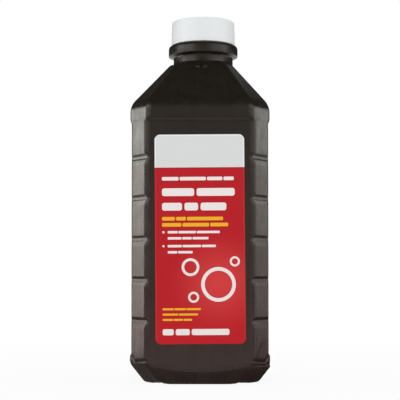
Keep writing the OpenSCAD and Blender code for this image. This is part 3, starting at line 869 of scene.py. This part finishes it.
# ======== materials
def bottle_plastic():
    """Dark brown polyethylene: satin, with the faint die lines, soft waves and fine
    skin of a blown bottle, rubbed paler along its foot. Lower down its colour is
    painted lighter, warmer and redder, as light from the floor."""
    material, tree, shader = new_material("bottle_plastic")
    height = split(tree, place_mm(tree))["Z"]
    die_lines = noise(tree, "die lines")
    normal = bump(tree, "waves")
    normal = bump(tree, "die lines", normal, die_lines)
    normal = bump(tree, "skin", normal)
    # painted light from the floor: lighter and warmer lower down, redder near the foot
    body = fade(tree, height, WARM_LIGHT_Z, BOTTLE_DARK, BOTTLE_WARM_LIGHT)
    body = fade(tree, height, RED_LIGHT_Z, body, BOTTLE_RED_LIGHT)
    mottle = times(tree, noise(tree, "mottle"), 0.5)
    streaks = maths(tree, "ADD", mottle, times(tree, die_lines, 0.5))
    shade = ranged(tree, streaks, *STREAKS_SEEN, *STREAK_SHADE)
    body = vector(tree, "MULTIPLY", body, shade)
    rub = ranged(tree, noise(tree, "rubbing"), *RUB_SEEN)
    scuff = times(tree, ranged(tree, height, *RUB_Z), rub)
    colour = blend(tree, times(tree, scuff, SCUFF_PALE), body, BOTTLE_SCUFF)
    rough = ranged(tree, streaks, *STREAKS_FELT, *BOTTLE_ROUGH)
    rough = maths(tree, "ADD", rough, times(tree, scuff, SCUFF_ROUGH))
    dress(tree, shader, colour, normal, rough, IOR=1.5, Specular_IOR_Level=0.4)
    return material


def cap_plastic():
    """White polypropylene: satin, with a fine matt grain and faint flow marks."""
    material, tree, shader = new_material("cap_plastic")
    flow = noise(tree, "flow marks")
    grain = noise(tree, "cap grain")
    normal = bump(tree, "cap grain", bump(tree, "flow marks", None, flow), grain)
    colour = blend(tree, flow, CAP_WHITE_A, CAP_WHITE_B)
    rough = ranged(tree, grain, *GRAIN_FELT, *CAP_ROUGH)
    dress(tree, shader, colour, normal, rough, IOR=1.49, Specular_IOR_Level=0.5)
    return material


def liner_board():
    """Waxed pulp board: cream, fibrous, with darker specks."""
    material, tree, shader = new_material("liner_board")
    fibres = noise(tree, "fibres")
    specks = ranged(tree, noise(tree, "specks"), *SPECKS_SEEN)
    colour = blend(tree, fibres, BOARD_DARK, BOARD_PALE)
    colour = blend(tree, times(tree, specks, 0.5), colour, BOARD_SPECK)
    normal = bump(tree, "fibres", None, fibres)
    dress(tree, shader, colour, normal, Roughness=0.62, IOR=1.45)
    return material


def seal_foil():
    """Heat-sealed foil laminate: brushed silver with a pressed diamond grid."""
    material, tree, shader = new_material("seal_foil")
    parts = split(tree, place_mm(tree))
    waves = []
    for sign in ("ADD", "SUBTRACT"):
        lane = maths(tree, sign, parts["X"], parts["Y"])
        wave = maths(tree, "SINE", times(tree, lane, GRID_TURN))
        waves.append(maths(tree, "ABSOLUTE", wave))
    line = ranged(tree, maths(tree, "MINIMUM", *waves), 0.0, GRID_LINE)
    brushed = noise(tree, "brushing")
    colour = blend(tree, brushed, FOIL_DARK, FOIL_PALE)
    rough = ranged(tree, brushed, *GRAIN_FELT, *FOIL_ROUGH)
    normal = bump(tree, "foil grid", bump(tree, "foil dents"), line)
    dress(tree, shader, colour, normal, rough, Metallic=0.45)
    return material


def label_axes(tree, tilt, mid_z):
    """Sockets for the place on a label: across and up from its middle, in mm."""
    centred = vector(tree, "SUBTRACT", place_mm(tree), (0, 0, mid_z))
    axes = ((cos(tilt), 0, sin(tilt)), (-sin(tilt), 0, cos(tilt)))
    return [vector(tree, "DOT_PRODUCT", centred, axis, "Value") for axis in axes]


def dress_film(tree, shader, colour, grain):
    """The semi-gloss face of printed film, with its fine grain and soft waves."""
    normal = bump(tree, "film grain", bump(tree, "film waves"), grain)
    dress(tree, shader, colour, normal, Roughness=0.48, IOR=1.48, Specular_IOR_Level=0.2)


def front_label_film():
    """Semi-gloss printed film: a white band over red that glows paler low down."""
    material, tree, shader = new_material("front_label_film")
    across, up = label_axes(tree, LABEL_TILT, FRONT_MID_Z)
    # the glow: a round spot that fades outwards
    squares = []
    for place, middle in zip((across, up), GLOW_AT):
        off = times(tree, maths(tree, "SUBTRACT", place, middle), 1.0 / GLOW_R)
        squares.append(times(tree, off, off))
    away = maths(tree, "SQRT", maths(tree, "ADD", *squares))
    glow = times(tree, ranged(tree, away, 1.0, 0.0), GLOW_SHARE)
    red = blend(tree, ranged(tree, up, DEEPER_FROM, -LABEL_H / 2), RED_TOP, RED_LOW)
    red = blend(tree, glow, red, RED_GLOW)
    # both colours are paler along the label's edge: a painted highlight where the edge catches light
    side = ranged(tree, maths(tree, "ABSOLUTE", across), *(LABEL_W / 2 - rim for rim in HIGHLIGHT_RIM))
    top = ranged(tree, up, *(LABEL_H / 2 - rim for rim in HIGHLIGHT_RIM))
    rim = maths(tree, "MAXIMUM", side, top)
    white = blend(tree, rim, BAND_GREY, BAND_EDGE_HIGHLIGHT)
    red = blend(tree, times(tree, rim, HIGHLIGHT_RIM_SHARE), red, RED_GLOW)
    band = maths(tree, "GREATER_THAN", up, LABEL_H / 2 - BAND_H)
    colour = blend(tree, band, red, white)
    grain = noise(tree, "film grain")
    colour = blend(tree, ranged(tree, grain, *FILM_SEEN, 0.0, FILM_PALE), colour, WHITE)
    dress_film(tree, shader, colour, grain)
    return material


def back_label_film():
    """White film under a red head band."""
    material, tree, shader = new_material("back_label_film")
    up = label_axes(tree, 0.0, BACK_MID_Z)[1]
    grain = noise(tree, "film grain")
    band = maths(tree, "GREATER_THAN", up, LABEL_H / 2 - BACK_BAND_H)
    colour = blend(tree, band, blend(tree, grain, FILM_DARK, FILM_WHITE), RED_TOP)
    dress_film(tree, shader, colour, grain)
    return material


def ink(name, colour, shade):
    """Printed ink: nearly flat, with a slight unevenness."""
    material, tree, shader = new_material(name)
    mottled = blend(tree, noise(tree, "ink mottle"), colour, shade)
    dress(tree, shader, mottled, Roughness=0.46, IOR=1.48, Specular_IOR_Level=0.2)
    return material


# ======== printed marks
def front_print(white, yellow):
    """Generic marks in place of wording: bars for the text, and some bubbles."""
    parts = text_lines(TEXT_LEFT, HEAD_LINES)
    parts += text_lines(TEXT_LEFT + TEXT_INDENT, LIST_LINES)
    parts += [moved(plate(circle(DOT_R, 24)), TEXT_LEFT + DOT_AT, y) for y in DOTS_Y]
    parts += text_lines(TEXT_LEFT, FOOT_LINES)
    parts += [bubble(*spec) for spec in BUBBLES]
    yellow_parts = text_lines(TEXT_LEFT, YELLOW_LINES)
    return [print_piece("front_print_white", parts, on_front, white),
            print_piece("front_print_yellow", yellow_parts, on_front, yellow)]


def back_print(grey, white):
    """A ruled table of generic text bars, each field under a shorter heading."""
    height = FRAME_TOP - FRAME_FOOT
    frame_line = ring_plate(rounded_box(FRAME_W, height, FRAME_R),
                            rounded_box(FRAME_W - FRAME_IN, height - FRAME_IN, FRAME_INNER_R))
    parts = [moved(frame_line, 0, (FRAME_TOP + FRAME_FOOT) / 2)]
    rule = rounded_box(FRAME_W - RULE_IN, RULE_H, RULE_R, 2)
    parts += [moved(plate(rule), 0, y) for y in RULES_Y]
    draw = np.random.RandomState(7)
    for high, low in zip((FRAME_TOP,) + RULES_Y, RULES_Y + (FRAME_FOOT,)):
        for i in range(max(1, int((high - low - BACK_LAST) / BACK_PITCH))):
            heading = i == 0
            share = HEADING_SHARE if heading else TEXT_SHARE + (1 - TEXT_SHARE) * draw.rand()
            spread = 1 - 2 * WORD_LEAST
            breaks = sorted(WORD_LEAST + spread * draw.rand(1 if heading else 3))
            keep = [b for k, b in enumerate(breaks) if k == 0 or b - breaks[k - 1] > WORD_LEAST]
            parts += word_bars(BACK_LEFT, BACK_LEFT + BACK_TEXT_W * share,
                               high - BACK_FIRST - BACK_PITCH * i,
                               HEADING_H if heading else TEXT_H, keep)
    title = text_lines(BACK_LEFT, BACK_TITLE)
    return [print_piece("back_print_grey", parts, on_back, grey),
            print_piece("back_print_white", title, on_back, white)]


# ======== the pieces
def clothe(piece, material):
    piece.data.materials.clear()
    piece.data.materials.append(material)
    return piece


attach(clothe(make_bottle(), bottle_plastic()), "bottle")
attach(clothe(make_cap(), cap_plastic()), "cap")
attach(clothe(make_liner(), liner_board()), "liner")
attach(clothe(make_seal(), seal_foil()), "bottle")
clothe(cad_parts["front_label"], front_label_film())
clothe(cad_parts["back_label"], back_label_film())

white_ink = ink("white_ink", srgb(246, 240, 238), srgb(238, 230, 228))
yellow_ink = ink("yellow_ink", srgb(246, 190, 40), srgb(238, 178, 30))
grey_ink = ink("grey_ink", srgb(86, 88, 92), srgb(98, 100, 104))
for mark in front_print(white_ink, yellow_ink) + back_print(grey_ink, white_ink):
    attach(mark, "bottle")


# ======== studio
FLOOR_HALF, FLOOR_GLOW = 6000.0, 0.92
# what reflections see of the floor, a painted glow: painted shadow near the bottle and to its right,
# painted light in front of and behind it
FLOOR_NEAR_SHADOW = (0.16, 0.15, 0.145, 1.0)
FLOOR_RIGHT_SHADOW = (0.04, 0.04, 0.04, 1.0)
FLOOR_BEHIND = (0.9, 0.9, 0.9, 1.0)
FLOOR_BRIGHT = (1.0, 0.92, 0.86, 1.0)
FLOOR_BACK = (0.1, 0.1, 0.1, 1.0)
FLOOR_FRONT = (0.45, 0.3, 0.28, 1.0)
# spans in metres over which one look of the floor turns into the next
SHADOW_FADE, BRIGHT_FADE = (0.06, 0.5), (0.17, 0.26)
AHEAD_FADE, UNDER_FADE, RIGHT_FADE = (0.0, -0.3), (-0.036, -0.06), (0.0, 0.03)
BEHIND_FADE, BEHIND_SPREAD = (0.02, 0.12), 0.55
CEILING = (0.03, 0.03, 0.03, 1.0)
FRONT_DIM = (0.62, 0.56, 0.5, 1.0)
CORNER_DARK = (0.04, 0.04, 0.04, 1.0)
WORLD_LIGHT = (0.95, 0.95, 0.95, 1.0)
# the same for the backdrop, as parts of a direction
CEILING_FADE, CORNER_FADE, BACK_FADE = (0.08, 0.44), (-0.35, 0.0), (-0.96, -0.99)
# boxes that the corner faces mirror: lowest and highest point, radiance on the left
# and the right, tint
BOX_TURN, BOX_AWAY, BOX_W = 102.0, 0.14, 0.042
BOXES = (
    (0.003, 0.03, 2.35, 0.8, (1.0, 0.8, 0.76)),
    (0.03, 0.075, 3.0, 1.15, (1.0, 0.87, 0.8)),
    (0.075, 0.12, 4.4, 2.0, (1.0, 0.93, 0.85)),
    (0.12, 0.164, 5.9, 3.2, (1.0, 0.99, 0.93)))
# other lamps that only reflections see: azimuth, distance, lowest and highest point,
# width, radiance
LAMP_TINT = (1.0, 0.98, 0.94)
LAMPS = (
    ("left_line", -93, 0.136, 0.003, 0.16, 0.012, 3.0),
    ("right_glow", 78, 0.14, 0.003, 0.16, 0.03, 1.6),
    ("left_strip", -58, 0.9, 0.27, 0.6, 0.75, 2.2),
    ("left_inner", -31, 0.9, 0.27, 0.6, 0.3, 0.8),
    ("left_edge", -84, 0.9, 0.27, 0.6, 0.26, 3.2),
    ("right_edge", 80, 0.9, 0.27, 0.6, 0.2, 1.6),
    ("right_strip", 55, 0.9, 0.27, 0.6, 0.8, 1.7),
    ("right_inner", 26, 0.9, 0.27, 0.6, 0.3, 0.8),
    ("slope_left", -140, 0.124, 0.2, 0.25, 0.05, 0.03),
    ("slope_right", 140, 0.124, 0.2, 0.25, 0.05, 0.04),
    ("slope_right_high", 140, 0.124, 0.226, 0.3, 0.05, 0.42))
# the soft lamp that lights the scene, in the same order
FILL = ("front_fill", -12, 1.6, 0.3, 1.5, 1.4, 0.55)


def background_rays(tree):
    """1 for rays that should see the pale background, and 0 for the rest."""
    path = add_node(tree, "LightPath")
    seen = maths(tree, "MAXIMUM", path.outputs["Is Camera Ray"], path.outputs["Is Glossy Ray"])
    return path, maths(tree, "MAXIMUM", seen, path.outputs["Is Transmission Ray"])


def make_floor():
    """A white floor with a soft shadow near the bottle. For reflections it glows with
    painted light: a painted shadow under the bottle and darker to its right, bright
    just in front of it, dimmer further ahead and bright behind it."""
    half = FLOOR_HALF
    corners = [(-half, -half, 0), (half, -half, 0), (half, half, 0), (-half, half, 0)]
    floor = add_mesh("floor", corners, [(0, 1, 2, 3)], smooth=False)
    material = bpy.data.materials.new("floor")
    tree = empty_tree(material)
    path, seen = background_rays(tree)
    coords = add_node(tree, "TexCoord").outputs["Object"]
    away = vector(tree, "LENGTH", coords, output="Value")
    axes = split(tree, coords)
    right, back = axes["X"], axes["Y"]
    # how much of each ray's light is the floor's own glow
    is_camera = path.outputs["Is Camera Ray"]
    far = times(tree, ranged(tree, away, *SHADOW_FADE), 1.0 - FLOOR_GLOW)
    camera_share = times(tree, is_camera, maths(tree, "ADD", FLOOR_GLOW, far))
    share = maths(tree, "ADD", camera_share, maths(tree, "SUBTRACT", seen, is_camera))
    # what reflections see: a painted glow, with painted shadow under the bottle and to its right
    far_colour = fade(tree, back, AHEAD_FADE, FLOOR_BACK, FLOOR_FRONT)
    bright = fade(tree, away, BRIGHT_FADE, FLOOR_BRIGHT, far_colour)
    near = fade(tree, right, RIGHT_FADE, FLOOR_NEAR_SHADOW, FLOOR_RIGHT_SHADOW)
    mirrored = fade(tree, back, UNDER_FADE, near, bright)
    spread = times(tree, maths(tree, "ABSOLUTE", right), BEHIND_SPREAD)
    behind = ranged(tree, maths(tree, "SUBTRACT", back, spread), *BEHIND_FADE)
    mirrored = blend(tree, behind, mirrored, FLOOR_BEHIND)
    glow_colour = blend(tree, is_camera, mirrored, WHITE)
    paint = blend(tree, noise(tree, "floor mottle"), FLOOR_DARK, FLOOR_PALE)
    diffuse = add_node(tree, "BsdfDiffuse", {"Color": paint})
    glow = add_node(tree, "Emission", {"Color": glow_colour, "Strength": 1.0})
    mixed = add_node(tree, "MixShader", {0: share, 1: diffuse.outputs[0], 2: glow.outputs[0]})
    show(tree, mixed)
    floor.data.materials.append(material)


def make_world():
    """A white backdrop for the camera. Reflections see it white straight behind the
    bottle, dim in front, and dark towards the back corners and the ceiling."""
    world = bpy.data.worlds.new("studio")
    bpy.context.scene.world = world
    tree = empty_tree(world)
    path, seen = background_rays(tree)
    direction = add_node(tree, "TexCoord").outputs["Generated"]
    axes = split(tree, direction)
    front = times(tree, axes["Y"], -1.0)
    wall = fade(tree, front, CORNER_FADE, CORNER_DARK, FRONT_DIM)
    wall = fade(tree, front, BACK_FADE, wall, WHITE)
    ceiling = ranged(tree, axes["Z"], *CEILING_FADE)
    backdrop = blend(tree, ceiling, wall, CEILING)
    backdrop = blend(tree, path.outputs["Is Camera Ray"], backdrop, WHITE)
    colour = blend(tree, seen, WORLD_LIGHT, backdrop)
    shade = add_node(tree, "Background", {"Color": colour, "Strength": 1.0})
    show(tree, shade, "OutputWorld")


def area_light(name, azimuth, away, low, high, width, radiance, tint, glossy_only=True):
    """An upright soft lamp that faces the bottle, between two heights and azimuth
    degrees from the front towards +X."""
    data = bpy.data.lights.new(name, "AREA")
    data.shape = "RECTANGLE"
    data.size, data.size_y = width, high - low
    data.energy = radiance * pi * width * (high - low)
    data.color = tint
    lamp = add_object(name, data)
    turn = radians(azimuth)
    lamp.location = (away * sin(turn), -away * cos(turn), (low + high) / 2)
    lamp.rotation_euler = (pi / 2, 0, turn)
    lamp.visible_camera = False
    lamp.visible_diffuse = not glossy_only
    lamp.visible_glossy = glossy_only


make_floor()
make_world()
for i, (low, high, left, right, tint) in enumerate(BOXES):
    area_light(f"left_box_{i}", -BOX_TURN, BOX_AWAY, low, high, BOX_W, left, tint)
    area_light(f"right_box_{i}", BOX_TURN, BOX_AWAY, low, high, BOX_W, right, tint)
for lamp in LAMPS:
    area_light(*lamp, LAMP_TINT)
area_light(*FILL, WHITE[:3], glossy_only=False)

# ======== camera
CAMERA_AWAY, CAMERA_HEIGHT, CAMERA_PITCH = 0.58, 0.0514, 2.73
CAMERA_LENS, SENSOR, CAMERA_SHIFT = 104.72, 36.0, 0.05

camera_data = bpy.data.cameras.new("camera")
camera_data.lens = CAMERA_LENS
camera_data.sensor_width = SENSOR
camera_data.shift_y = CAMERA_SHIFT
camera = add_object("camera", camera_data)
camera.location = (0, -CAMERA_AWAY, CAMERA_HEIGHT)
camera.rotation_euler = (radians(90 + CAMERA_PITCH), 0, 0)
bpy.context.scene.camera = camera
bpy.context.scene.view_settings.view_transform = "Standard"
